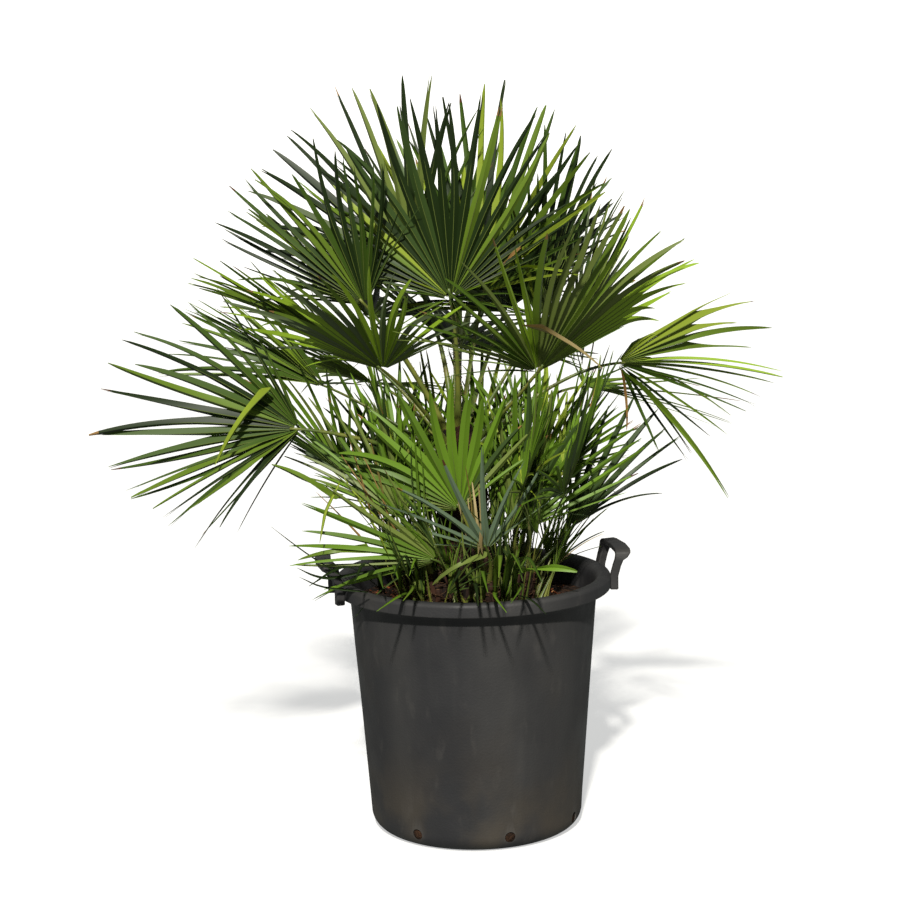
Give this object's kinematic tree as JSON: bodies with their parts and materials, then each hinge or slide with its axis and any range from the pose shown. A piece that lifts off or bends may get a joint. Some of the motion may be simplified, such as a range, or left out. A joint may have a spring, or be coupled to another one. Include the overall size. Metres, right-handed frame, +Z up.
{
  "type": "potted fan palm",
  "caption": "Bushy fan palm with a short fibrous trunk, offset stems and stiff fan-shaped fronds, in a round nursery pot with a rolled lip and loop handles.",
  "frame": {"origin": "centre of the pot's flat underside", "axes": "+Z up along the pot's axis, +X towards the right-hand handle of the picture, -Y towards its camera"},
  "size_m": [1.4109, 1.0771, 1.5194],
  "materials": {
    "pot_plastic": "dull charcoal, dusty and lightly scuffed",
    "compost": "loose dark bark compost",
    "bark": "fibrous brown leaf bases",
    "leaf": "satin green, paler below"
  },
  "bodies": {
    "root": {"pot": "pot_plastic", "handle_right": "pot_plastic", "handle_left": "pot_plastic", "soil": "compost", "trunk": "bark", "stem_front_left": "bark", "stem_front": "bark", "stem_right": "bark", "stem_left": "bark", "stem_back_right": "bark", "stem_back": "bark", "frond_front_top": "leaf", "frond_left_top": "leaf", "frond_left_upper": "leaf", "frond_front_left": "leaf", "frond_left_low": "leaf", "frond_left_back_low": "leaf", "frond_front_right": "leaf", "frond_right_upper": "leaf", "frond_right_low": "leaf", "frond_back_top": "leaf", "frond_right_mid": "leaf", "frond_back_left_top": "leaf", "frond_back_left_mid": "leaf", "frond_back_right_mid": "leaf", "frond_back_low": "leaf", "frond_back_left_low": "leaf", "frond_back_right_low": "leaf", "frond_left_back_mid": "leaf", "frond_offset_front_fan": "leaf", "frond_offset_front_low": "leaf", "frond_offset_right_fan": "leaf", "frond_offset_right_low": "leaf", "frond_offset_left_low": "leaf", "frond_offset_left_fan": "leaf", "frond_offset_front_left_1": "leaf", "frond_offset_front_1": "leaf", "frond_offset_front_2": "leaf", "frond_offset_right_1": "leaf", "frond_offset_right_2": "leaf", "frond_offset_left_1": "leaf", "frond_offset_left_2": "leaf", "frond_offset_left_3": "leaf", "frond_offset_back_right_1": "leaf", "frond_offset_back_right_2": "leaf", "frond_offset_back_right_3": "leaf", "frond_offset_back_1": "leaf", "frond_offset_back_2": "leaf", "frond_offset_back_3": "leaf"}
  },
  "joints": []
}
